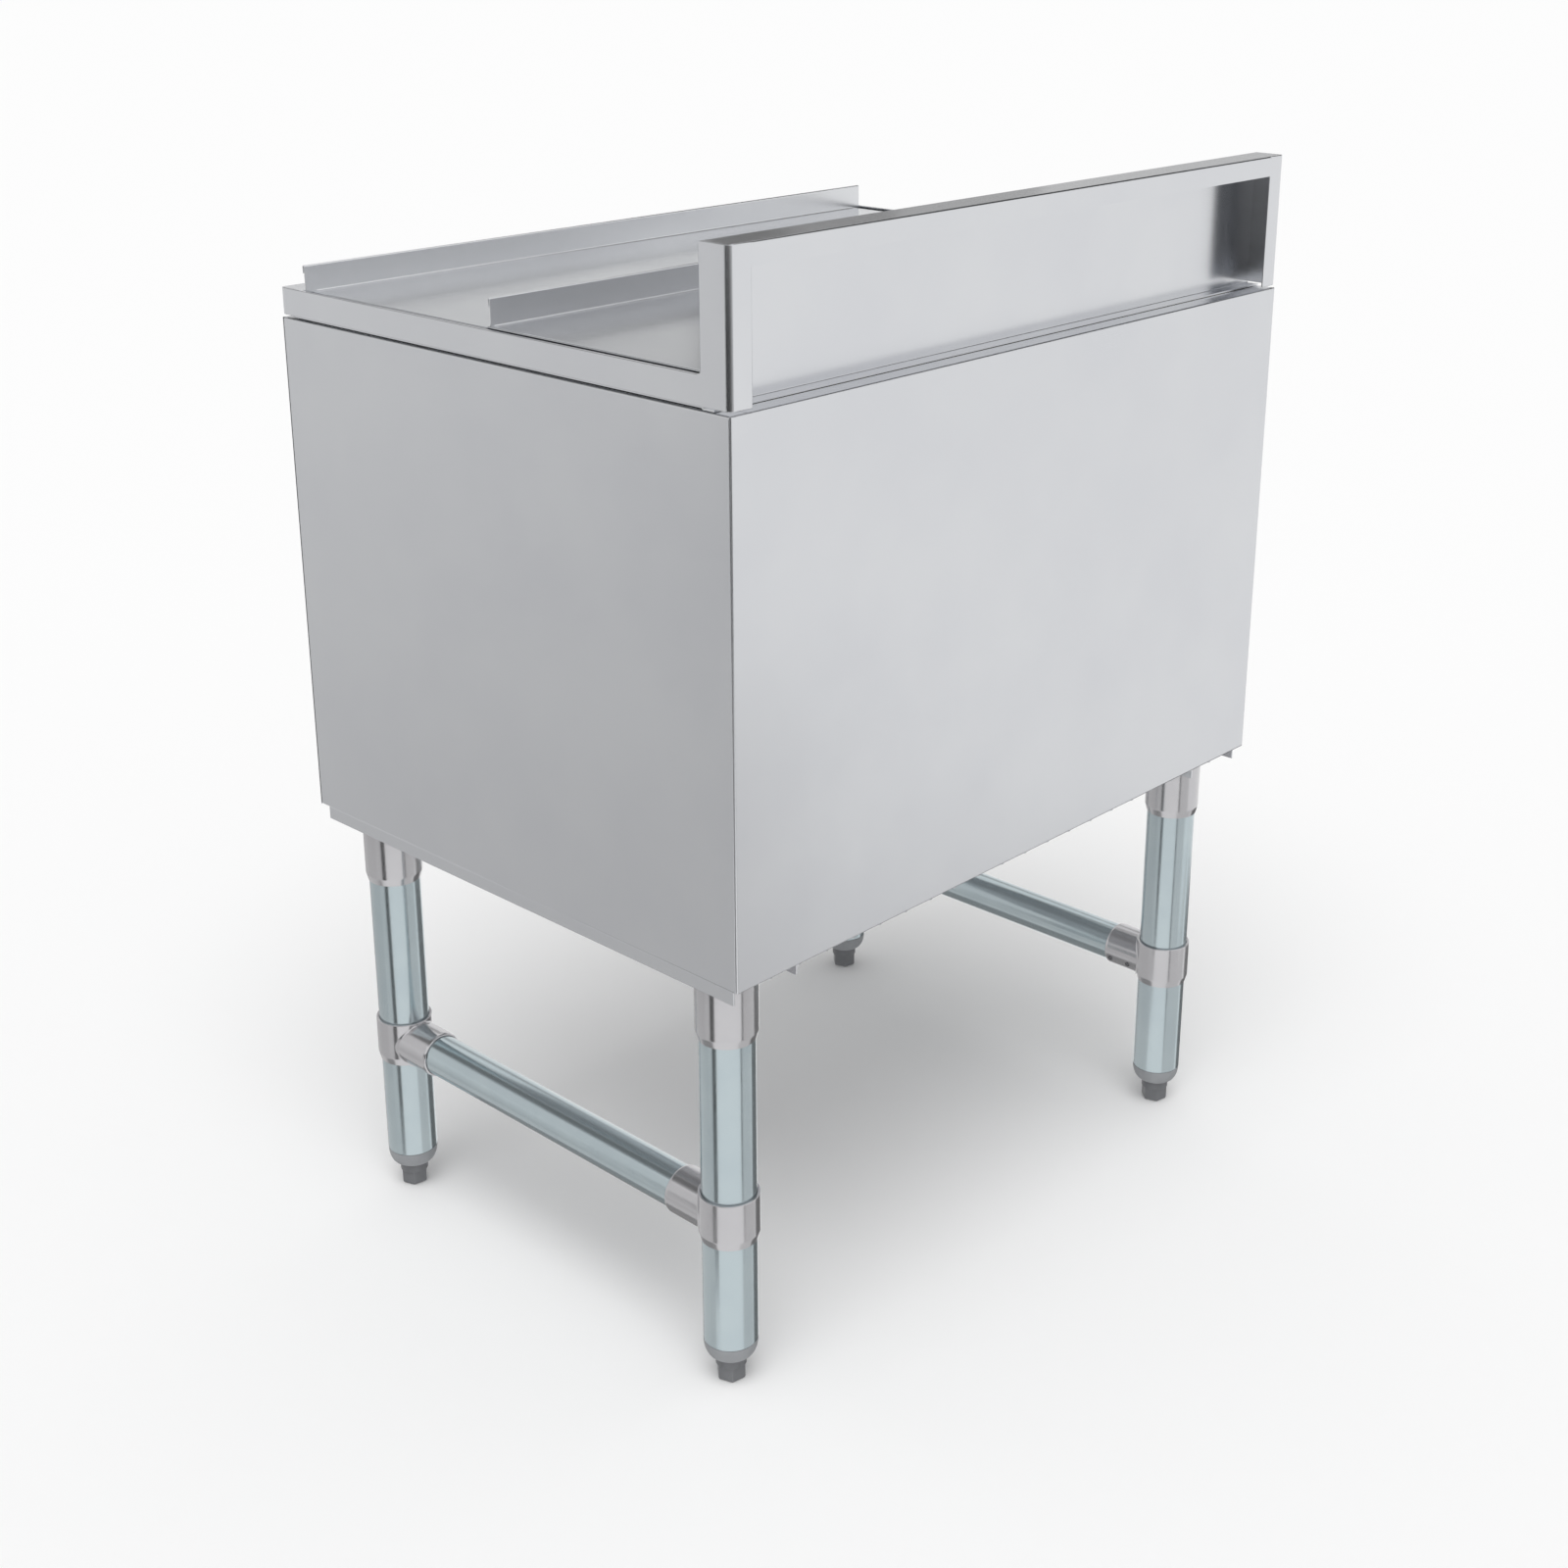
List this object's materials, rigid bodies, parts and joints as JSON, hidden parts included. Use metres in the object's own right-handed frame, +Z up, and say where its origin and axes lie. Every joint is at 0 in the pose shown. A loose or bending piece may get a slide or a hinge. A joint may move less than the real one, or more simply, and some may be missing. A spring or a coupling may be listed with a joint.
{
  "type": "underbar ice bin with cold plate",
  "caption": "Insulated steel ice bin on tube legs with adjustable feet, nested sliding lids, an open-backed backsplash and a cast cold plate with barbed drink circuits.",
  "frame": {"origin": "on the floor, under the middle of the cabinet's width and depth", "axes": "+Z up, +Y towards the backsplash and the wall, +X to the right of the user, who stands at -Y"},
  "size_m": [0.6096, 0.47, 0.8382],
  "materials": {
    "panel_steel": "satin brushed stainless sheet",
    "frame_steel": "satin brushed stainless sheet",
    "lid_steel": "brushed stainless sheet, a little darker and glossier",
    "liner_steel": "smooth stainless sheet with coved corners",
    "circuit_steel": "bright drawn stainless tube",
    "cast_aluminium": "sand-cast, light grey",
    "foam": "foamed in place, hidden",
    "gasket_rubber": "soft black",
    "chromed_brass": "bright plated",
    "galvanised_tube": "blue-grey metallic, satin",
    "cast_socket": "grey metallic casting, satin",
    "grey_plastic": "matt grey moulding",
    "dark_foot": "dark grey moulding",
    "screw_steel": "dark oxide"
  },
  "bodies": {
    "cabinet": {"bottom_pan": "panel_steel", "brace_left": "galvanised_tube", "brace_right": "galvanised_tube", "circuit_tube_1": "circuit_steel", "circuit_tube_2": "circuit_steel", "circuit_tube_3": "circuit_steel", "circuit_tube_4": "circuit_steel", "circuit_tube_5": "circuit_steel", "circuit_tube_6": "circuit_steel", "circuit_tube_7": "circuit_steel", "cold_plate": "cast_aluminium", "drain_body": "chromed_brass", "drain_gasket": "gasket_rubber", "drain_locknut": "chromed_brass", "drain_strainer": "chromed_brass", "end_cup_left_front": "grey_plastic", "end_cup_left_rear": "grey_plastic", "end_cup_right_front": "grey_plastic", "end_cup_right_rear": "grey_plastic", "front_panel": "panel_steel", "ice_liner": "liner_steel", "insulation": "foam", "leg_channel_left": "panel_steel", "leg_channel_right": "panel_steel", "leg_socket_left_front": "cast_socket", "leg_socket_left_rear": "cast_socket", "leg_socket_right_front": "cast_socket", "leg_socket_right_rear": "cast_socket", "leg_tee_left_front": "cast_socket", "leg_tee_left_rear": "cast_socket", "leg_tee_right_front": "cast_socket", "leg_tee_right_rear": "cast_socket", "leg_tube_left_front": "galvanised_tube", "leg_tube_left_rear": "galvanised_tube", "leg_tube_right_front": "galvanised_tube", "leg_tube_right_rear": "galvanised_tube", "rear_panel": "panel_steel", "set_screw_left_front_far": "screw_steel", "set_screw_left_front_near": "screw_steel", "set_screw_left_rear_far": "screw_steel", "set_screw_left_rear_near": "screw_steel", "set_screw_right_front_far": "screw_steel", "set_screw_right_front_near": "screw_steel", "set_screw_right_rear_far": "screw_steel", "set_screw_right_rear_near": "screw_steel", "side_panel_left": "panel_steel", "side_panel_right": "panel_steel", "top_frame": "frame_steel"},
    "front_lid": {"front_lid": "lid_steel"},
    "rear_lid": {"rear_lid": "lid_steel"},
    "left_front_foot": {"foot_left_front": "dark_foot"},
    "left_rear_foot": {"foot_left_rear": "dark_foot"},
    "right_front_foot": {"foot_right_front": "dark_foot"},
    "right_rear_foot": {"foot_right_rear": "dark_foot"}
  },
  "joints": [
    {"name": "front_lid_slide", "type": "slide", "parent": "cabinet", "child": "front_lid", "axis": [0, 1, 0], "range_m": [0, 0.184]},
    {"name": "rear_lid_slide", "type": "slide", "parent": "cabinet", "child": "rear_lid", "axis": [0, -1, 0], "range_m": [0, 0.015]},
    {"name": "left_front_foot_height", "type": "slide", "parent": "cabinet", "child": "left_front_foot", "axis": [0, 0, -1], "range_m": [0, 0.025]},
    {"name": "left_rear_foot_height", "type": "slide", "parent": "cabinet", "child": "left_rear_foot", "axis": [0, 0, -1], "range_m": [0, 0.025]},
    {"name": "right_front_foot_height", "type": "slide", "parent": "cabinet", "child": "right_front_foot", "axis": [0, 0, -1], "range_m": [0, 0.025]},
    {"name": "right_rear_foot_height", "type": "slide", "parent": "cabinet", "child": "right_rear_foot", "axis": [0, 0, -1], "range_m": [0, 0.025]}
  ]
}
